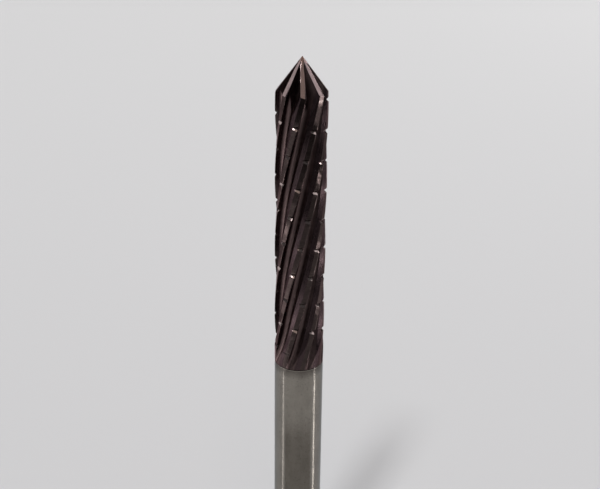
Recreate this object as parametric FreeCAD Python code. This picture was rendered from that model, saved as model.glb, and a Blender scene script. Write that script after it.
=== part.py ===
import FreeCAD, Part
import os
from math import acos, atan2, cos, degrees, pi, radians, sin, tan

# Solid carbide reamer in one piece. A plain cylindrical shank is below, and above it a cutting
# part with right-hand flutes, chip breakers and a conical point.
# Z runs along the axis to the point. The origin is the middle of the shank's end face.
# Lengths are in mm and angles in degrees.

# Overall sizes
overall_length = 75.0
shank_diameter = 6.0
shank_chamfer = 0.4
cutting_diameter = 6.02      # at the shoulder
back_taper = 0.02            # by which the diameter falls towards the end of the flutes
cutting_length = 38.4        # from the tip down to the end of the flutes and of the coating
point_angle = 73.0           # full angle of the cone

# Flutes
flute_count = 8
flute_lead = 70.0            # height of one full turn, right hand
core_diameter = 4.2
front_edge_angle = -80.4     # cutting edge of the front tooth at the shoulder, seen from the tip
rake_angle = 6.0
flute_bottom_radius = 0.45
flute_bottom_facets = 3      # flats that make up the round bottom
run_out_length = 5.4         # height over which a flute rises to the outside

# Teeth, from the cutting edge backwards
margin_width = 0.08          # round strip at the full diameter
land_width = 0.62            # margin and relief together
relief_angle = 16.0
back_width = 0.62            # second facet, behind the land
back_angle = 38.0

# Gashes that open the flutes into the point
gash_start_radius = 0.5      # the cone stays whole inside this radius
gash_slope = 17.5            # bottom of the gash, away from the axis
gash_opening = 60.0          # angle between the gash's two walls
gash_ahead = 0.08            # distance of the gash's steep wall from the axis
gash_reach = 2.9             # how far the gash runs down past the shoulder

# Chip breakers: one left-hand groove that crosses every tooth in turn
breaker_first_tooth = 2      # counted from the front tooth, anticlockwise seen from the tip
breaker_start = 0.82         # first crossing, below the shoulder
breaker_pitch = 3.62
breaker_depth = 0.25
breaker_stop = 1.8           # the groove comes out of the steel this far above the flutes' end
breaker_fade = 1.0           # height over which it rises to the outside there
breaker_flank = 46.0         # each wall of the groove, away from its middle
breaker_bottom_width = 0.12
breaker_length = 2.2         # stretch of the groove that is cut across one tooth

# Room by which a cutter stands clear of the steel it leaves
clear = 0.5
margin_clear = 0.04

cutting_radius = cutting_diameter / 2
flute_end_radius = (cutting_diameter - back_taper) / 2
shank_radius = shank_diameter / 2
core_radius = core_diameter / 2
shoulder_z = overall_length - cutting_radius / tan(radians(point_angle / 2))
flute_end_z = overall_length - cutting_length
tooth_angle = 360.0 / flute_count
twist = 360.0 / flute_lead   # turn for each mm of height

axis = FreeCAD.Vector(0, 0, 1)
centre = FreeCAD.Vector(0, 0, 0)


def polar(radius, angle):
    return FreeCAD.Vector(radius * cos(radians(angle)), radius * sin(radians(angle)), 0)


def angle_of(vector):
    return degrees(atan2(vector.y, vector.x))


def turned(point, angle):
    return FreeCAD.Rotation(axis, angle).multVec(point)


def around(cutter):
    """One copy of the cutter for each flute."""
    copies = []
    for tooth in range(flute_count):
        copy = cutter.copy()
        copy.rotate(centre, axis, tooth * tooth_angle)
        copies.append(copy)
    return copies


def make_blank():
    """Shank, tapered cutting part and point, in one piece."""
    chamfer = Part.makeCone(shank_radius - shank_chamfer, shank_radius, shank_chamfer)
    shank = Part.makeCylinder(shank_radius, flute_end_z - shank_chamfer, axis * shank_chamfer)
    fluted = Part.makeCone(flute_end_radius, cutting_radius, shoulder_z - flute_end_z, axis * flute_end_z)
    point = Part.makeCone(cutting_radius, 0, overall_length - shoulder_z, axis * shoulder_z)
    return chamfer.fuse([shank, fluted, point]).Solids[0]


def facet_back(point, length, drop):
    """Far end of a facet that starts at the point and drops away from the tangent there."""
    return point + polar(length, angle_of(point) - 90 - drop)


def flute_outline():
    """Section of one flute, between the cutting edge at angle 0 and the tooth after it."""
    rake = polar(1, rake_angle)
    side = polar(1, rake_angle + 90)
    edge = FreeCAD.Vector(cutting_radius, 0, 0)

    # The round bottom touches the rake face and the core
    reach = core_radius + flute_bottom_radius
    across = edge.dot(side) + flute_bottom_radius
    bottom = side * across + rake * (reach ** 2 - across ** 2) ** 0.5

    # Margin, relief and back facet of the tooth after it
    margin_end = polar(cutting_radius, tooth_angle - degrees(margin_width / cutting_radius))
    heel = facet_back(margin_end, land_width - margin_width, relief_angle)
    back_foot = facet_back(heel, back_width, back_angle)

    # A straight wall runs from the round bottom to the back facet
    to_back = back_foot - bottom
    start = rake_angle - 90
    end = angle_of(to_back) + degrees(acos(flute_bottom_radius / to_back.Length)) - 360
    step = (end - start) / flute_bottom_facets
    floor = [bottom + polar(flute_bottom_radius, start + step * n) for n in range(flute_bottom_facets + 1)]

    # Outside the blank the outline only has to stand clear
    past_margin = margin_end + (margin_end - heel).normalize() * margin_clear
    far = cutting_radius + clear
    outside = [polar(far, angle_of(past_margin) * share) for share in (1, 0.5)]
    return floor + [back_foot, heel, past_margin] + outside + [edge + rake * clear]


def flute_section(outline, z):
    """The flute's outline at one height, turned by the helix and lifted where the flute runs out."""
    sunk = max(0.0, flute_end_z + run_out_length - z) / run_out_length
    lift = polar(1, rake_angle) * (cutting_radius - core_radius) * sunk ** 2
    angle = front_edge_angle + twist * (z - shoulder_z)
    points = [turned(point + lift, angle) + axis * z for point in outline]
    return Part.makePolygon(points + points[:1])


def make_flute_cutter():
    outline = flute_outline()
    run_out_top = flute_end_z + run_out_length
    heights = [flute_end_z + run_out_length * share for share in (-0.1, 0.1, 0.3, 0.5, 0.7, 0.85, 1.0)]
    rows = 8
    rise = (overall_length - run_out_top) / rows
    heights += [run_out_top + rise * row for row in range(1, rows + 1)]
    return Part.makeLoft([flute_section(outline, z) for z in heights], True)


def make_gash_cutter():
    """Wedge with a steep wall at the cutting edge and a sloping wall at the next tooth."""
    steep = FreeCAD.Vector(cutting_radius, -gash_ahead, 0).normalize()
    sloping = turned(steep, gash_opening)
    outward = tan(radians(gash_slope))
    start_z = overall_length - gash_start_radius / tan(radians(point_angle / 2))
    low_z = shoulder_z - gash_reach
    low = FreeCAD.Vector(0, gash_ahead, low_z) + steep * (gash_start_radius + (start_z - low_z) * outward)
    section = Part.makePolygon([low, low + steep * cutting_diameter, low + sloping * cutting_diameter, low])
    wedge = Part.Face(section).extrude((axis - steep * outward) * (overall_length + clear - low_z))
    wedge.rotate(centre, axis, front_edge_angle)
    return wedge


def make_breaker():
    """One straight stretch of the groove, across a tooth at angle 0 and height 0."""
    bottom = cutting_radius - breaker_depth
    top = cutting_radius + clear
    half_bottom = breaker_bottom_width / 2
    half_top = half_bottom + (top - bottom) * tan(radians(breaker_flank))
    outline = [
        FreeCAD.Vector(bottom, 0, -half_bottom),
        FreeCAD.Vector(top, 0, -half_top),
        FreeCAD.Vector(top, 0, half_top),
        FreeCAD.Vector(bottom, 0, half_bottom),
    ]
    groove = Part.Face(Part.makePolygon(outline + outline[:1])).extrude(FreeCAD.Vector(0, breaker_length, 0))
    groove.translate(FreeCAD.Vector(0, -breaker_length / 2, 0))
    lean = degrees(atan2(breaker_pitch, pi * cutting_diameter))
    groove.rotate(centre, FreeCAD.Vector(1, 0, 0), -lean)
    return groove


def make_breakers():
    """The groove comes to the next tooth a little further round and lower each time."""
    groove = make_breaker()
    half_land = degrees(land_width / cutting_radius) / 2
    first_z = shoulder_z - breaker_start
    first_tooth = front_edge_angle + breaker_first_tooth * tooth_angle
    first_angle = first_tooth - half_land - twist * breaker_start
    angle_step = tooth_angle / (1 + breaker_pitch / flute_lead)
    z_step = breaker_pitch * angle_step / 360.0
    stop_z = flute_end_z + breaker_stop
    count = int((first_z - stop_z) / z_step) + 1
    breakers = []
    for number in range(count):
        z = first_z - number * z_step
        sunk = max(0.0, stop_z + breaker_fade - z) / breaker_fade
        breaker = groove.copy()
        breaker.translate(FreeCAD.Vector(breaker_depth * sunk, 0, z))
        breaker.rotate(centre, axis, first_angle + number * angle_step)
        breakers.append(breaker)
    return breakers


def make_reamer():
    reamer = make_blank()
    for cutter in around(make_flute_cutter()) + around(make_gash_cutter()):
        reamer = reamer.cut(cutter)
    return reamer.cut(make_breakers())


os.makedirs("parts", exist_ok=True)
make_reamer().exportStep("parts/reamer.step")
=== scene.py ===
from math import acos, atan2, cos, degrees, pi, radians, sin, tan

import bpy
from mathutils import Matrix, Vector


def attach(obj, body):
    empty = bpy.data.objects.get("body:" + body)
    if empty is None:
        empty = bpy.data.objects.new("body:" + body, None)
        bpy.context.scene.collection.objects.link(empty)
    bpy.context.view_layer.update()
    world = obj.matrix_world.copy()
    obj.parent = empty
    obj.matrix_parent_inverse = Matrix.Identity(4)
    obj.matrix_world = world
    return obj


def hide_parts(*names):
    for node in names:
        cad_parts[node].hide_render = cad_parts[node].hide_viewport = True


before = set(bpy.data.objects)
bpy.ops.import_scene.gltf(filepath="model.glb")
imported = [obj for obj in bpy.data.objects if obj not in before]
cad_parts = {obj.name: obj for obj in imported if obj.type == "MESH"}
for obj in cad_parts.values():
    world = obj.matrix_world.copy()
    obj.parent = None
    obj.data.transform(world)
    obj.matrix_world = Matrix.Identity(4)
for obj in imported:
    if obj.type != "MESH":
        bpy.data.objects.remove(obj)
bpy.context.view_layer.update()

# the reamer is modelled in millimetres and brought to metres at the end
blank = {
    "length": 75.0,
    "shankRadius": 3.0,
    "chamfer": 0.4,
    "fluteEnd": 36.6,       # height of the coating's edge, where the flutes end
    "fluteEndRadius": 3.0,
    "lastRing": 0.6,        # the shank's last ring is this far below the flutes' end
    "cutRadius": 3.01,      # at the shoulder
    "pointAngle": 73.0,
    "sides": 192,
}
flutes = {
    "count": 8,
    "lead": 70.0,           # height of one full turn
    "frontEdge": -80.4,     # cutting edge of the front tooth at the shoulder
    "coreRadius": 2.1,
    "rake": 6.0,
    "bottomRadius": 0.45,
    "bottomSteps": 12,
    "margin": 0.08,
    "marginClear": 0.04,    # the cutter stands this far past the margin's end
    "land": 0.62,
    "relief": 16.0,
    "back": 0.62,
    "backAngle": 38.0,
    "runOut": 5.4,
    "runOutRows": 20,
    "startBelow": 0.1,      # the cutter starts this share of the run-out below the flutes' end
    "rows": 60,
    "clear": 0.5,
}
gashes = {
    "startRadius": 0.5,     # the cone stays whole inside this radius
    "slope": 17.5,          # bottom of the gash, away from the axis
    "opening": 60.0,        # between its two walls
    "ahead": 0.08,          # distance of its steep wall from the axis
    "reach": 2.9,           # how far it runs down past the shoulder
    "reachOut": 6.0,
}
breakers = {
    "firstTooth": 2,        # counted from the front tooth, anticlockwise from above
    "start": 0.82,          # height of the first crossing below the shoulder
    "pitch": 3.62,
    "depth": 0.25,
    "stop": 1.8,            # height above the flutes' end where the groove leaves the steel
    "fade": 1.0,            # height over which it rises to the outside there
    "fadeRows": 26,
    "flank": 46.0,
    "bottomRadius": 0.09,
    "bottomSteps": 6,
    "stepsPerTurn": 96,
}

shoulder = blank["length"] - blank["cutRadius"] / tan(radians(blank["pointAngle"] / 2))
toothAngle = 360 / flutes["count"]
twist = 360 / flutes["lead"]
mergeDistance = 0.0005


def polar(radius, angle):
    return Vector((radius * cos(radians(angle)), radius * sin(radians(angle)), 0))


def bearing(v):
    return degrees(atan2(v.y, v.x))


def deselectAll():
    if bpy.context.object and bpy.context.object.mode != "OBJECT":
        bpy.ops.object.mode_set(mode="OBJECT")
    bpy.ops.object.select_all(action="DESELECT")


def turnSelected(angle, axis="Z", centre=(0, 0, 0)):
    # with no window this operator turns the other way
    bpy.ops.transform.rotate(value=-radians(angle), orient_axis=axis, center_override=centre)


def startOutline(name, point):
    deselectAll()
    bpy.ops.mesh.primitive_plane_add(size=1, location=(0, 0, 0))
    piece = bpy.context.object
    piece.name = name
    bpy.ops.object.mode_set(mode="EDIT")
    bpy.ops.mesh.select_mode(type="VERT")
    bpy.ops.mesh.select_all(action="SELECT")
    bpy.ops.mesh.merge(type="CENTER")
    bpy.ops.transform.translate(value=point)
    return piece


def drawLine(points):
    for start, end in zip(points, points[1:]):
        bpy.ops.mesh.extrude_region_move(TRANSFORM_OT_translate={"value": end - start})


def drawArc(centre, angle, steps, axis=(0, 0, 1)):
    # a positive angle in this operator goes clockwise
    bpy.ops.mesh.spin(steps=steps, angle=-radians(angle), center=centre, axis=axis)


def fillOutline():
    bpy.ops.mesh.select_all(action="SELECT")
    bpy.ops.mesh.remove_doubles(threshold=mergeDistance)
    bpy.ops.mesh.edge_face_add()


def cut(body, cutter):
    deselectAll()
    bpy.context.view_layer.objects.active = body
    difference = body.modifiers.new(cutter.name, "BOOLEAN")
    difference.operation = "DIFFERENCE"
    difference.solver = "MANIFOLD"
    difference.object = cutter
    bpy.ops.object.modifier_apply(modifier=difference.name)
    bpy.data.objects.remove(cutter)


def makeBlank():
    deselectAll()
    height, radius = 0.0, blank["shankRadius"] - blank["chamfer"]
    bpy.ops.mesh.primitive_circle_add(vertices=blank["sides"], radius=radius, fill_type="NGON")
    piece = bpy.context.object
    piece.name = "reamerBody"
    bpy.ops.object.mode_set(mode="EDIT")
    bpy.ops.mesh.select_all(action="SELECT")
    rings = [
        (blank["chamfer"], blank["shankRadius"]),
        (blank["fluteEnd"] - blank["lastRing"], blank["shankRadius"]),
        (blank["fluteEnd"], blank["fluteEndRadius"]),
        (shoulder, blank["cutRadius"]),
    ]
    for nextHeight, nextRadius in rings:
        bpy.ops.mesh.extrude_region_move(TRANSFORM_OT_translate={"value": (0, 0, nextHeight - height)})
        grow = nextRadius / radius
        bpy.ops.transform.resize(value=(grow, grow, 1), center_override=(0, 0, 0))
        height, radius = nextHeight, nextRadius
    bpy.ops.mesh.extrude_region_move(TRANSFORM_OT_translate={"value": (0, 0, blank["length"] - height)})
    bpy.ops.mesh.merge(type="CENTER")
    bpy.ops.mesh.select_all(action="SELECT")
    bpy.ops.mesh.normals_make_consistent(inside=False)
    bpy.ops.object.mode_set(mode="OBJECT")
    return piece


def makeGashCutter(number):
    steep = Vector((blank["cutRadius"], -gashes["ahead"], 0)).normalized()
    sloping = polar(1, bearing(steep) + gashes["opening"])
    outward = tan(radians(gashes["slope"]))
    startHeight = blank["length"] - gashes["startRadius"] / tan(radians(blank["pointAngle"] / 2))
    lowHeight = shoulder - gashes["reach"]
    lowRadius = gashes["startRadius"] + (startHeight - lowHeight) * outward
    low = Vector((0, gashes["ahead"], lowHeight)) + steep * lowRadius
    piece = startOutline("gashCutter", low)
    drawLine([low, low + steep * gashes["reachOut"], low + sloping * gashes["reachOut"], low])
    fillOutline()
    rise = blank["length"] + flutes["clear"] - lowHeight
    along = Vector((0, 0, 1)) - steep * outward
    bpy.ops.mesh.extrude_region_move(TRANSFORM_OT_translate={"value": along * rise})
    bpy.ops.mesh.select_all(action="SELECT")
    turnSelected(flutes["frontEdge"] + number * toothAngle)
    bpy.ops.mesh.normals_make_consistent(inside=False)
    bpy.ops.object.mode_set(mode="OBJECT")
    return piece


def makeFluteCutters():
    rake, side = polar(1, flutes["rake"]), polar(1, flutes["rake"] + 90)
    edge = Vector((blank["cutRadius"], 0, 0))

    # the round bottom touches the rake face and the core
    reach = flutes["coreRadius"] + flutes["bottomRadius"]
    across = edge.dot(side) + flutes["bottomRadius"]
    bottom = side * across + rake * (reach ** 2 - across ** 2) ** 0.5
    marginEnd = polar(blank["cutRadius"], toothAngle - degrees(flutes["margin"] / blank["cutRadius"]))
    heel = marginEnd + polar(flutes["land"] - flutes["margin"], bearing(marginEnd) - 90 - flutes["relief"])
    backFoot = heel + polar(flutes["back"], bearing(heel) - 90 - flutes["backAngle"])
    toBack = backFoot - bottom
    arcStart = flutes["rake"] - 90
    arcEnd = bearing(toBack) + degrees(acos(flutes["bottomRadius"] / toBack.length)) - 360
    pastMargin = marginEnd + (marginEnd - heel).normalized() * flutes["marginClear"]
    far = blank["cutRadius"] + flutes["clear"]
    outer = [polar(far, bearing(pastMargin) * share) for share in (1, 0.5)]

    # drawn flat, once round the flute
    top = edge + rake * flutes["clear"]
    arcFirst = bottom + polar(flutes["bottomRadius"], arcStart)
    arcLast = bottom + polar(flutes["bottomRadius"], arcEnd)
    piece = startOutline("fluteCutter", top)
    drawLine([top, arcFirst])
    drawArc(bottom, arcEnd - arcStart, flutes["bottomSteps"])
    drawLine([arcLast, backFoot, heel, pastMargin] + outer + [top])
    fillOutline()

    # then drawn up the helix, and lifted out of the blank where the flute runs out
    runOutTop = blank["fluteEnd"] + flutes["runOut"]
    depth = blank["cutRadius"] - flutes["coreRadius"]
    low = blank["fluteEnd"] - flutes["runOut"] * flutes["startBelow"]
    lowRows = flutes["runOutRows"]
    heights = [low + (runOutTop - low) * row / lowRows for row in range(lowRows + 1)]
    rise = (blank["length"] + flutes["clear"] - runOutTop) / flutes["rows"]
    heights += [runOutTop + rise * row for row in range(1, flutes["rows"] + 1)]

    def angleAt(height):
        return flutes["frontEdge"] + twist * (height - shoulder)

    def liftAt(height):
        return depth * max(0, (runOutTop - height) / flutes["runOut"]) ** 2

    bpy.ops.mesh.select_all(action="SELECT")
    turnSelected(angleAt(low))
    lift = polar(liftAt(low), flutes["rake"] + angleAt(low))
    bpy.ops.transform.translate(value=lift + Vector((0, 0, low)))
    for before, height in zip(heights, heights[1:]):
        bpy.ops.mesh.extrude_region_move(TRANSFORM_OT_translate={"value": (0, 0, height - before)})
        turnSelected(angleAt(height) - angleAt(before))
        lift = liftAt(height) - liftAt(before)
        if lift:
            bpy.ops.transform.translate(value=polar(lift, flutes["rake"] + angleAt(height)))

    # one for each flute
    bpy.ops.mesh.select_all(action="SELECT")
    for copy in range(flutes["count"] - 1):
        bpy.ops.mesh.duplicate()
        turnSelected(toothAngle)
    bpy.ops.mesh.select_all(action="SELECT")
    bpy.ops.mesh.normals_make_consistent(inside=False)
    bpy.ops.object.mode_set(mode="OBJECT")
    return piece


def makeBreakerCutter():
    bottom = blank["cutRadius"] - breakers["depth"]
    top = blank["cutRadius"] + flutes["clear"]
    radius, flank = breakers["bottomRadius"], radians(breakers["flank"])
    centre = Vector((bottom + radius, 0, 0))
    touch = Vector((centre.x - radius * sin(flank), 0, radius * cos(flank)))
    halfTop = touch.z + (top - touch.x) * tan(flank)
    upper, lower = Vector((top, 0, halfTop)), Vector((top, 0, -halfTop))
    lowTouch = Vector((touch.x, 0, -touch.z))
    piece = startOutline("breakerCutter", upper)
    drawLine([upper, touch])
    drawArc(centre, -(180 - 2 * breakers["flank"]), breakers["bottomSteps"], axis=(0, 1, 0))
    drawLine([lowTouch, lower, upper])
    bpy.ops.mesh.select_all(action="SELECT")
    bpy.ops.mesh.remove_doubles(threshold=mergeDistance)

    # the groove starts in the gap before its first tooth
    halfLand = degrees(flutes["land"] / blank["cutRadius"]) / 2
    angleStep = toothAngle / (1 + breakers["pitch"] / flutes["lead"])
    firstTooth = flutes["frontEdge"] + breakers["firstTooth"] * toothAngle
    startAngle = firstTooth - halfLand - twist * breakers["start"] - angleStep / 2
    startHeight = shoulder - breakers["start"] + breakers["pitch"] * angleStep / 2 / 360
    stopHeight = blank["fluteEnd"] + breakers["stop"]
    fadeHeight = stopHeight + breakers["fade"]
    sweep = (startHeight - fadeHeight) / breakers["pitch"] * 360
    turnSelected(startAngle)
    bpy.ops.transform.translate(value=(0, 0, startHeight))
    bpy.ops.object.mode_set(mode="OBJECT")
    helix = piece.modifiers.new("helix", "SCREW")
    helix.axis = "Z"
    helix.angle = radians(sweep)
    helix.screw_offset = fadeHeight - startHeight
    helix.steps = helix.render_steps = int(breakers["stepsPerTurn"] * sweep / 360)
    helix.use_merge_vertices = False
    bpy.ops.object.modifier_apply(modifier=helix.name)

    # both ends are closed and the lower one goes on, rising out of the steel
    bpy.ops.object.mode_set(mode="EDIT")
    bpy.ops.mesh.select_mode(type="EDGE")
    bpy.ops.mesh.select_all(action="DESELECT")
    bpy.ops.mesh.select_non_manifold()
    bpy.ops.mesh.fill_holes(sides=0)
    bpy.ops.mesh.select_mode(type="FACE")
    bpy.ops.mesh.select_all(action="DESELECT")
    bpy.ops.object.mode_set(mode="OBJECT")
    endFaces = [face for face in piece.data.polygons if len(face.vertices) > 4]
    min(endFaces, key=lambda face: face.center.z).select = True
    bpy.ops.object.mode_set(mode="EDIT")
    rows = breakers["fadeRows"]
    drop = (stopHeight - fadeHeight) / rows
    turn = (fadeHeight - stopHeight) / breakers["pitch"] * 360 / rows
    for row in range(rows):
        bpy.ops.mesh.extrude_region_move(TRANSFORM_OT_translate={"value": (0, 0, drop)})
        turnSelected(turn)
        outwards = polar(breakers["depth"] / rows, startAngle + sweep + turn * (row + 1))
        bpy.ops.transform.translate(value=outwards)
    bpy.ops.mesh.select_all(action="SELECT")
    bpy.ops.mesh.normals_make_consistent(inside=False)
    bpy.ops.object.mode_set(mode="OBJECT")
    return piece


def makeReamer():
    body = makeBlank()
    print("blank turned")
    for number in range(flutes["count"]):
        cut(body, makeGashCutter(number))
    print("gashes cut")
    cut(body, makeFluteCutters())
    print("flutes cut")
    cut(body, makeBreakerCutter())
    print("chip breakers cut,", len(body.data.polygons), "faces")
    return body


reamer = makeReamer()
toMetres = 0.001
smoothBelow = 14

deselectAll()
reamer.select_set(True)
bpy.context.view_layer.objects.active = reamer
bpy.ops.object.mode_set(mode="EDIT")
bpy.ops.mesh.select_all(action="SELECT")
bpy.ops.transform.resize(value=(toMetres, toMetres, toMetres), center_override=(0, 0, 0))
bpy.ops.object.mode_set(mode="OBJECT")
bpy.ops.object.shade_smooth_by_angle(angle=radians(smoothBelow))


def facesOf(piece, belongs, material):
    piece.data.materials.append(material)
    index = len(piece.data.materials) - 1
    for face in piece.data.polygons:
        if belongs(face):
            face.material_index = index


def newMaterial(name):
    material = bpy.data.materials.new(name)
    material.use_nodes = True
    tree = material.node_tree
    return material, tree, tree.nodes["Principled BSDF"]


def node(tree, kind, inputs=(), **settings):
    made = tree.nodes.new(kind)
    for key, value in settings.items():
        setattr(made, key, value)
    for name, value in dict(inputs).items():
        if isinstance(value, bpy.types.NodeSocket):
            tree.links.new(value, made.inputs[name])
        else:
            made.inputs[name].default_value = value
    return made


def calc(tree, operation, *values):
    return node(tree, "ShaderNodeMath", enumerate(values), operation=operation).outputs[0]


def ramp(tree, value, low, high, fromValue=0.0, toValue=1.0):
    made = node(tree, "ShaderNodeMapRange", {0: value, 1: low, 2: high, 3: fromValue, 4: toValue})
    return made.outputs[0]


def blend(tree, share, first, second, how="MIX"):
    made = node(tree, "ShaderNodeMix", {0: share, 6: first, 7: second}, data_type="RGBA", blend_type=how)
    return made.outputs[2]


def between(tree, share, first, second):
    return node(tree, "ShaderNodeMix", {0: share, 2: first, 3: second}).outputs[0]


def scaled(tree, vector, factors):
    return node(tree, "ShaderNodeVectorMath", {0: vector, 1: factors}, operation="MULTIPLY").outputs[0]


def noise(tree, vector, scale, detail=3.0, roughness=0.55):
    inputs = {"Vector": vector, "Scale": scale, "Detail": detail, "Roughness": roughness}
    return node(tree, "ShaderNodeTexNoise", inputs).outputs["Fac"]


def bump(tree, height, strength, depth, below=None):
    inputs = {"Height": height, "Strength": strength, "Distance": depth}
    if below:
        inputs["Normal"] = below
    return node(tree, "ShaderNodeBump", inputs).outputs[0]


def placeInMillimetres(tree):
    place = node(tree, "ShaderNodeTexCoord").outputs["Object"]
    place = scaled(tree, place, (1000, 1000, 1000))
    return place, node(tree, "ShaderNodeSeparateXYZ", {0: place}).outputs


coating = {
    # the flute and rake face colours are lighter than the lands': painted light, standing in for the light
    # that bounces about in the flutes
    "flute": (0.086, 0.061, 0.06, 1),
    "rake face": (0.13, 0.09, 0.09, 1),
    "land": (0.052, 0.039, 0.0375, 1),
    "cone land": (0.06, 0.0455, 0.045, 1),
    "tooth back": (0.054, 0.037, 0.04, 1),
    # painted highlight: lighter than the lands, for the groove's glints
    "groove": (0.085, 0.069, 0.066, 1),
    "worn": (0.15, 0.115, 0.11, 1),
    "tip": (0.075, 0.045, 0.036, 1),
    "rim": (0.018, 0.013, 0.013, 1),
    "flute roughness": (0.3, 0.4),
    "back roughness": (0.24, 0.32),
    "land roughness": (0.11, 0.19),
    "cone roughness": (0.06, 0.1),
    "groove roughness": 0.13,
    "grind lines": (9.0, 9.0, 0.35),
    "land lines": (1.2, 1.2, 16.0),
    "streak strength": (0.72, 1.3),
    "cloud strength": (0.82, 1.2),
    "bump": (0.25, 0.04),                   # off the cone and on it
    "specular tint": (0.75, 0.62, 0.63, 1),

    # where each face lies: radii, heights and distances in mm, shares of the way from edge to edge
    "outside radii": (2.74, 2.8),
    "back radii": (2.35, 2.5),
    "margin radii": (2.96, 2.985),
    "rake share": (0.14, 0.11),
    "off cone": (0.05, 0.03),
    "groove half width": (0.3, 0.24),
    "groove radii": (2.6, 2.7),
    "groove top": (0.3, 0.4),               # below the shoulder
    "groove foot": (1.8, 2.4),              # above the flutes' end
    "tip heights": (74.2, 74.9),
    "rim heights": (0.2, 0.12),             # above the flutes' end
    "worn chips": (0.54, 0.64),
}
groundCarbide = {
    "colour": (0.272, 0.253, 0.226, 1),
    "light": (0.36, 0.34, 0.31, 1),
    "shade": (0.11, 0.1, 0.09, 1),
    "overspray": (0.055, 0.045, 0.042, 1),
    "roughness": (0.09, 0.17),
    "rings": (0.35, 0.35, 24.0),
    "specks": 5.5,
    "spray length": 1.3,
    "spray strength": 0.75,
    "bare edge": (0.05, 0.09),              # below the flutes' end
    "specular tint": (0.62, 0.64, 0.65, 1),
    "anisotropic": 0.5,
}


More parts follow.
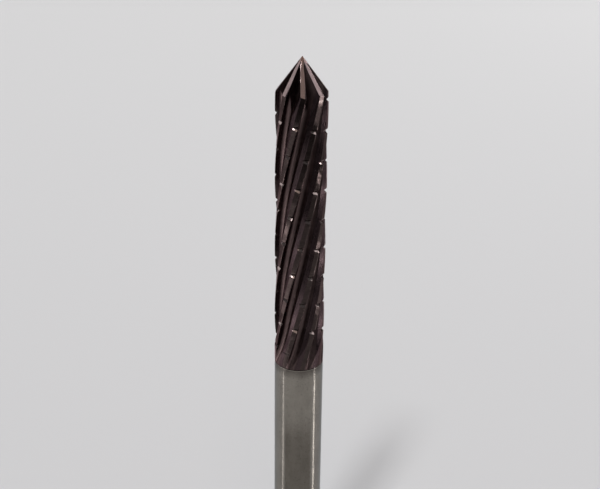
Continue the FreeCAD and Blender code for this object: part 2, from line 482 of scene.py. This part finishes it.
def makeCoating():
    material, tree, shader = newMaterial("darkCoating")
    place, parts = placeInMillimetres(tree)
    x, y, z = parts

    # turned back by the helix, so that the flutes run straight up
    back = calc(tree, "MULTIPLY", z, -radians(twist))
    inputs = {"Vector": place, "Angle": back}
    straight = node(tree, "ShaderNodeVectorRotate", inputs, rotation_type="Z_AXIS").outputs[0]
    split = node(tree, "ShaderNodeSeparateXYZ", {0: straight})
    angle = calc(tree, "ARCTAN2", split.outputs[1], split.outputs[0])
    fromEdge = calc(tree, "SUBTRACT", angle, radians(flutes["frontEdge"] - twist * shoulder))
    share = calc(tree, "FRACT", calc(tree, "DIVIDE", fromEdge, radians(toothAngle)))
    squares = calc(tree, "ADD", calc(tree, "MULTIPLY", x, x), calc(tree, "MULTIPLY", y, y))
    radius = calc(tree, "SQRT", squares)

    # masks for the faces, by their share of the way from one cutting edge to the next
    landShare = 1 - degrees(flutes["land"] / blank["cutRadius"]) / toothAngle
    backShare = landShare - degrees(flutes["back"] / blank["cutRadius"]) / toothAngle
    marginShare = 1 - degrees(flutes["margin"] / blank["cutRadius"]) / toothAngle
    onLand = ramp(tree, share, landShare - 0.004, landShare + 0.004)
    onLand = calc(tree, "MULTIPLY", onLand, ramp(tree, radius, *coating["outside radii"]))
    onBack = ramp(tree, share, backShare - 0.04, backShare)
    onBack = calc(tree, "MULTIPLY", onBack, ramp(tree, radius, *coating["back radii"]))
    coneSlope = tan(radians(blank["pointAngle"] / 2))
    coneRadius = calc(tree, "MULTIPLY", calc(tree, "SUBTRACT", blank["length"], z), coneSlope)
    offCone = calc(tree, "ABSOLUTE", calc(tree, "SUBTRACT", radius, coneRadius))
    onCone = ramp(tree, offCone, *coating["off cone"])

    # colour of the faces, with the streaks the wheel left along the flutes and across the lands
    along = noise(tree, scaled(tree, straight, coating["grind lines"]), 1.0, 4.0, 0.65)
    across = noise(tree, scaled(tree, place, coating["land lines"]), 1.0, 3.0)
    clouds = noise(tree, place, 0.9, 4.0)
    onRake = ramp(tree, share, *coating["rake share"])
    # the flute and its rake face are painted lighter than the lands and backs, painted light for the light
    # bouncing in the flutes
    colour = blend(tree, onRake, coating["flute"], coating["rake face"])
    colour = blend(tree, onBack, colour, coating["tooth back"])
    colour = blend(tree, onLand, colour, coating["land"])
    colour = blend(tree, onCone, colour, coating["cone land"])
    streak = between(tree, onLand, along, across)
    streaks = ramp(tree, streak, 0.3, 0.7, *coating["streak strength"])
    colour = blend(tree, 1.0, colour, streaks, "MULTIPLY")
    patches = ramp(tree, clouds, 0.3, 0.7, *coating["cloud strength"])
    colour = blend(tree, 1.0, colour, patches, "MULTIPLY")

    # the chip-breaker groove is painted brighter than the lands it crosses, a painted highlight standing in
    # for the glints its walls catch
    halfLand = degrees(flutes["land"] / blank["cutRadius"]) / 2
    firstTooth = flutes["frontEdge"] + breakers["firstTooth"] * toothAngle
    crossing = firstTooth - halfLand - twist * breakers["start"]
    climbed = calc(tree, "SUBTRACT", z, shoulder - breakers["start"])
    climbed = calc(tree, "DIVIDE", climbed, breakers["pitch"])
    turned = calc(tree, "SUBTRACT", calc(tree, "ARCTAN2", y, x), radians(crossing))
    turned = calc(tree, "DIVIDE", turned, 2 * pi)

    # in turns of the groove, moved on so that the groove's middle is always at a half
    phase = calc(tree, "FRACT", calc(tree, "ADD", calc(tree, "ADD", climbed, turned), 5.5))
    fromGroove = calc(tree, "ABSOLUTE", calc(tree, "SUBTRACT", phase, 0.5))
    flankFoot, flankTop = coating["groove half width"]
    topStart, topEnd = coating["groove top"]
    footStart, footEnd = coating["groove foot"]
    inGroove = ramp(tree, fromGroove, flankFoot / breakers["pitch"], flankTop / breakers["pitch"])
    limits = [
        ramp(tree, share, landShare - 0.02, landShare),
        ramp(tree, z, shoulder - topStart, shoulder - topEnd),
        ramp(tree, z, blank["fluteEnd"] + footStart, blank["fluteEnd"] + footEnd),
        ramp(tree, radius, *coating["groove radii"]),
    ]
    for limit in limits:
        inGroove = calc(tree, "MULTIPLY", inGroove, limit)
    colour = blend(tree, inGroove, colour, coating["groove"])

    # the coating is thin on the margins and heels, and gone in small chips
    onMargin = ramp(tree, share, marginShare - 0.006, marginShare)
    onMargin = calc(tree, "MULTIPLY", onMargin, ramp(tree, radius, *coating["margin radii"]))
    chips = noise(tree, scaled(tree, place, (1, 1, 1.6)), 4.5, 5.0, 0.7)
    worn = calc(tree, "MULTIPLY", onMargin, ramp(tree, chips, *coating["worn chips"]))
    colour = blend(tree, worn, colour, coating["worn"])
    nearTip = ramp(tree, z, *coating["tip heights"])
    nearTip = calc(tree, "MULTIPLY", nearTip, ramp(tree, chips, 0.35, 0.6, 0.5, 1.0))
    colour = blend(tree, nearTip, colour, coating["tip"])
    edge = calc(tree, "ADD", z, calc(tree, "MULTIPLY", chips, 0.1))
    rimTop, rimFoot = coating["rim heights"]
    onRim = ramp(tree, edge, blank["fluteEnd"] + rimTop, blank["fluteEnd"] + rimFoot)
    colour = blend(tree, onRim, colour, coating["rim"])
    tree.links.new(colour, shader.inputs["Base Color"])

    grit = calc(tree, "ADD", streak, clouds)
    roughness = ramp(tree, grit, 0.7, 1.3, *coating["flute roughness"])
    for mask, name in ((onBack, "back"), (onLand, "land"), (onCone, "cone")):
        finer = ramp(tree, grit, 0.7, 1.3, *coating[name + " roughness"])
        roughness = between(tree, mask, roughness, finer)
    roughness = between(tree, inGroove, roughness, coating["groove roughness"])
    tree.links.new(roughness, shader.inputs["Roughness"])
    depth = ramp(tree, onCone, 0.0, 1.0, *coating["bump"])
    relief = bump(tree, streak, depth, 0.00001)
    relief = bump(tree, noise(tree, place, 11.0, 2.0), depth, 0.000008, relief)
    tree.links.new(relief, shader.inputs["Normal"])
    shader.inputs["Metallic"].default_value = 1
    shader.inputs["Specular Tint"].default_value = coating["specular tint"]
    return material


def makeGroundCarbide():
    material, tree, shader = newMaterial("groundCarbide")
    place, parts = placeInMillimetres(tree)
    z = parts[2]
    rings = noise(tree, scaled(tree, place, groundCarbide["rings"]), 1.0, 4.0, 0.7)
    clouds = noise(tree, scaled(tree, place, (1, 1, 0.35)), 0.8, 4.0)
    grain = noise(tree, place, groundCarbide["specks"], 4.0, 0.75)
    ringed = ramp(tree, rings, 0.35, 0.75, 0.0, 0.45)
    colour = blend(tree, ringed, groundCarbide["colour"], groundCarbide["light"])
    colour = blend(tree, ramp(tree, clouds, 0.4, 0.7, 0.0, 0.32), colour, groundCarbide["shade"])
    colour = blend(tree, ramp(tree, grain, 0.41, 0.33, 0.0, 1.0), colour, groundCarbide["shade"])
    colour = blend(tree, ramp(tree, grain, 0.62, 0.7), colour, groundCarbide["light"])

    # the coating drifted a little way down the shank
    drift = calc(tree, "ADD", z, calc(tree, "MULTIPLY", calc(tree, "SUBTRACT", clouds, 0.5), 0.5))
    sprayFoot = blank["fluteEnd"] - groundCarbide["spray length"]
    spray = ramp(tree, drift, sprayFoot, blank["fluteEnd"], 0.0, groundCarbide["spray strength"])
    bareTop, bareFoot = groundCarbide["bare edge"]
    bare = ramp(tree, z, blank["fluteEnd"] - bareTop, blank["fluteEnd"] - bareFoot)
    spray = calc(tree, "MULTIPLY", spray, bare)
    colour = blend(tree, spray, colour, groundCarbide["overspray"])
    tree.links.new(colour, shader.inputs["Base Color"])

    smooth, rough = groundCarbide["roughness"]
    tree.links.new(ramp(tree, rings, 0.3, 0.7, smooth, rough), shader.inputs["Roughness"])
    relief = bump(tree, rings, 0.25, 0.000006)
    relief = bump(tree, grain, 0.4, 0.00001, relief)
    tree.links.new(relief, shader.inputs["Normal"])
    shader.inputs["Metallic"].default_value = 1
    shader.inputs["Specular Tint"].default_value = groundCarbide["specular tint"]
    shader.inputs["Anisotropic"].default_value = groundCarbide["anisotropic"]
    axis = {0: (0, 0, 1), 1: place}
    around = node(tree, "ShaderNodeVectorMath", axis, operation="CROSS_PRODUCT").outputs[0]
    spaces = {"vector_type": "VECTOR", "convert_from": "OBJECT", "convert_to": "WORLD"}
    tangent = node(tree, "ShaderNodeVectorTransform", {0: around}, **spaces).outputs[0]
    tree.links.new(tangent, shader.inputs["Tangent"])
    return material


edgeOfCoating = blank["fluteEnd"] / 1000
facesOf(reamer, lambda face: face.center.z > edgeOfCoating, makeCoating())
facesOf(reamer, lambda face: face.center.z < edgeOfCoating, makeGroundCarbide())
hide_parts("reamer")
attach(reamer, "root")
print("materials made")

floor = {
    "size": 4.0,
    "front": -0.6,
    # near and far: the floor is painted darker towards the front, near the tool, a painted shade
    "near": (0.62, 0.62, 0.63, 1),
    "far": (0.775, 0.775, 0.778, 1),
    "depth": (0.02, 0.35),
    "roughness": 0.9,

    # in front of the picture the metal shows a darker floor
    "mat near": (0.55, 0.545, 0.54, 1),
    "mat far": (0.09, 0.085, 0.085, 1),
    "mat reach": (0.13, 0.25),
    "mat edge": (0.012, -0.03),
}


def showInMetalOnly(material, tree, shader):
    glossy = node(tree, "ShaderNodeLightPath").outputs["Is Glossy Ray"]
    clear = node(tree, "ShaderNodeBsdfTransparent").outputs[0]
    mixed = node(tree, "ShaderNodeMixShader", {0: glossy, 1: clear, 2: shader.outputs[0]}).outputs[0]
    tree.links.new(mixed, tree.nodes["Material Output"].inputs["Surface"])
    material.cycles.emission_sampling = "NONE"


def makeFloor():
    deselectAll()
    bpy.ops.mesh.primitive_plane_add(size=floor["size"], location=(0, 0, 0))
    plane = bpy.context.object
    plane.name = "floor"
    bpy.ops.object.mode_set(mode="EDIT")
    bpy.ops.mesh.select_all(action="SELECT")
    bpy.ops.transform.translate(value=(0, floor["size"] / 2 + floor["front"], 0))
    bpy.ops.object.mode_set(mode="OBJECT")
    material, tree, shader = newMaterial("paleFloor")
    place = node(tree, "ShaderNodeTexCoord").outputs["Object"]
    y = node(tree, "ShaderNodeSeparateXYZ", {0: place}).outputs[1]
    # painted shade: the floor darkens towards the front
    colour = blend(tree, ramp(tree, y, *floor["depth"]), floor["near"], floor["far"])
    distance = node(tree, "ShaderNodeVectorMath", {0: place}, operation="LENGTH").outputs["Value"]
    mat = blend(tree, ramp(tree, distance, *floor["mat reach"]), floor["mat near"], floor["mat far"])
    glossy = node(tree, "ShaderNodeLightPath").outputs["Is Glossy Ray"]
    onMat = calc(tree, "MULTIPLY", ramp(tree, y, *floor["mat edge"]), glossy)
    colour = blend(tree, onMat, colour, mat)
    tree.links.new(colour, shader.inputs["Base Color"])
    shader.inputs["Roughness"].default_value = floor["roughness"]
    shader.inputs["Specular IOR Level"].default_value = 0
    plane.data.materials.append(material)


# cards that lie on the floor out of the picture and are seen in the metal alone
cards = [
    {"name": "rightNear", "side": 80.5, "spread": 1.3, "reach": (0.012, 0.062), "glow": (11.0, 11.0)},
    {"name": "rightFar", "side": 69.5, "spread": 8.5, "reach": (0.27, 0.33), "glow": (6.5, 19.0)},
    {"name": "rightLong", "side": 70.5, "spread": 5.0, "reach": (0.1, 0.27), "glow": (5.5, 13.0)},
    {"name": "rightMiddle", "side": 54.0, "spread": 20.0, "reach": (0.24, 0.32), "glow": (1.0, 2.5)},
    {"name": "rightWide", "side": 88.0, "spread": 34.0, "reach": (0.064, 0.15), "glow": (0.5, 0.5)},
    {"name": "leftNear", "side": -75.0, "spread": 1.7, "reach": (0.012, 0.062), "glow": (4.0, 4.0)},
    {"name": "leftWide", "side": -80.0, "spread": 56.0, "reach": (0.064, 0.15), "glow": (1.15, 1.15)},
    {"name": "leftFar", "side": -87.0, "spread": 10.0, "reach": (0.13, 0.18), "glow": (4.0, 4.0)},
    {"name": "leftMiddle", "side": -76.0, "spread": 64.0, "reach": (0.19, 0.59), "glow": (0.2, 0.2)},
]
cardLook = {
    "height": 0.0005,
    "colour": (0.66, 0.66, 0.66, 1),
    "glow colour": (1, 0.97, 0.96, 1),
    "glow distances": (0.12, 0.42),
}
greyCard = {
    "radius": 0.044,
    "side": 62.0,
    "corners": 90,
    "height": 0.0004,
    "colour": (0.31, 0.3, 0.29, 1),
    "roughness": 0.8,
}


def makeCard(card):
    deselectAll()
    near, far = card["reach"]
    bpy.ops.mesh.primitive_plane_add(size=1, location=(0, 0, 0))
    piece = bpy.context.object
    piece.name = card["name"]
    bpy.ops.object.mode_set(mode="EDIT")
    bpy.ops.mesh.select_all(action="SELECT")
    width = 2 * near * tan(radians(card["spread"] / 2))
    bpy.ops.transform.resize(value=(width, far - near, 1), center_override=(0, 0, 0))
    bpy.ops.transform.translate(value=(0, -(near + far) / 2, cardLook["height"]))
    bpy.ops.mesh.select_all(action="DESELECT")
    bpy.ops.object.mode_set(mode="OBJECT")
    for vertex in piece.data.vertices:
        vertex.select = vertex.co.y < -(near + far) / 2
    bpy.ops.object.mode_set(mode="EDIT")
    bpy.ops.transform.resize(value=(far / near, 1, 1), center_override=(0, 0, 0))
    bpy.ops.mesh.select_all(action="SELECT")
    turnSelected(card["side"])
    bpy.ops.object.mode_set(mode="OBJECT")
    material, tree, shader = newMaterial(card["name"])
    place = node(tree, "ShaderNodeTexCoord").outputs["Object"]
    distance = node(tree, "ShaderNodeVectorMath", {0: place}, operation="LENGTH").outputs["Value"]
    glow = ramp(tree, distance, *cardLook["glow distances"], *card["glow"])
    tree.links.new(glow, shader.inputs["Emission Strength"])
    shader.inputs["Emission Color"].default_value = cardLook["glow colour"]
    shader.inputs["Base Color"].default_value = cardLook["colour"]
    showInMetalOnly(material, tree, shader)
    piece.data.materials.append(material)


def makeGreyCard():
    deselectAll()
    size = {"vertices": greyCard["corners"], "radius": greyCard["radius"]}
    place = (0, 0, greyCard["height"])
    bpy.ops.mesh.primitive_circle_add(fill_type="TRIFAN", location=place, **size)
    piece = bpy.context.object
    piece.name = "greyCard"
    for face in piece.data.polygons:
        face.select = abs(degrees(atan2(face.center.x, -face.center.y))) > greyCard["side"]
    bpy.ops.object.mode_set(mode="EDIT")
    bpy.ops.mesh.delete(type="FACE")
    bpy.ops.object.mode_set(mode="OBJECT")
    material, tree, shader = newMaterial("greyCard")
    shader.inputs["Base Color"].default_value = greyCard["colour"]
    shader.inputs["Roughness"].default_value = greyCard["roughness"]
    showInMetalOnly(material, tree, shader)
    piece.data.materials.append(material)


makeFloor()
for card in cards:
    makeCard(card)
makeGreyCard()

# side and height are angles, seen from the point on the axis at which every lamp aims
lamps = [
    {"name": "leftSoftbox", "side": -101, "height": 35, "distance": 1.2, "size": (0.45, 0.45), "glow": 3.8},
    {"name": "rightSoftbox", "side": 101, "height": 35, "distance": 1.2, "size": (0.45, 0.45), "glow": 4.4},
    {"name": "frontSoftbox", "side": 0, "height": 58, "distance": 1.2, "size": (0.5, 0.5), "glow": 1.9,
     "colour": (1, 0.87, 0.74)},
    {"name": "leftSpot", "side": -24, "height": 61, "distance": 0.9, "size": (0.08, 0.18), "glow": 54},
    {"name": "rightSpot", "side": 122, "height": 25.5, "distance": 0.9, "size": (0.14, 0.1), "glow": 34},
]
lampAim = 0.06


def makeLamp(lamp):
    side, height = radians(lamp["side"]), radians(lamp["height"])
    flat = lamp["distance"] * cos(height)
    place = Vector((flat * sin(side), -flat * cos(side), lamp["distance"] * sin(height)))
    place.z += lampAim
    bpy.ops.object.light_add(type="AREA", location=place)
    light = bpy.context.object
    light.name = lamp["name"]
    light.data.shape = "RECTANGLE"
    light.data.size, light.data.size_y = lamp["size"]
    light.data.color = lamp.get("colour", (1, 1, 1))
    light.data.energy = lamp["glow"] * pi * light.data.size * light.data.size_y
    towardsAim = Vector((0, 0, lampAim)) - place
    light.rotation_euler = towardsAim.to_track_quat("-Z", "Y").to_euler()


for lamp in lamps:
    makeLamp(lamp)

# dark to a little above the floor's far edge, then pale
room = {"low": (0.1, 0.095, 0.09, 1), "high": (0.44, 0.44, 0.45, 1), "lift": (0.08, 0.45)}
print("floor, cards and lamps placed")

scene = bpy.context.scene
scene.world = bpy.data.worlds.new("paleRoom")
scene.world.use_nodes = True
roomTree = scene.world.node_tree
direction = node(roomTree, "ShaderNodeTexCoord").outputs["Generated"]
upwards = node(roomTree, "ShaderNodeSeparateXYZ", {0: direction}).outputs[2]
roomColour = blend(roomTree, ramp(roomTree, upwards, *room["lift"]), room["low"], room["high"])
roomTree.links.new(roomColour, roomTree.nodes["Background"].inputs["Color"])
scene.view_settings.view_transform = "Standard"

# fitted to the photo
camera = {
    "place": (0, -0.118138, 0.106884),
    "angles": (65.1619, -0.6144, 0.2928),
    "lens": 66.048,
    "sensor": 36,
    "clip": 0.005,
}
angles = [radians(angle) for angle in camera["angles"]]
bpy.ops.object.camera_add(location=camera["place"], rotation=angles)
view = bpy.context.object
view.name = "photoCamera"
view.data.lens = camera["lens"]
view.data.sensor_width = camera["sensor"]
view.data.sensor_fit = "HORIZONTAL"
view.data.clip_start = camera["clip"]
scene.camera = view
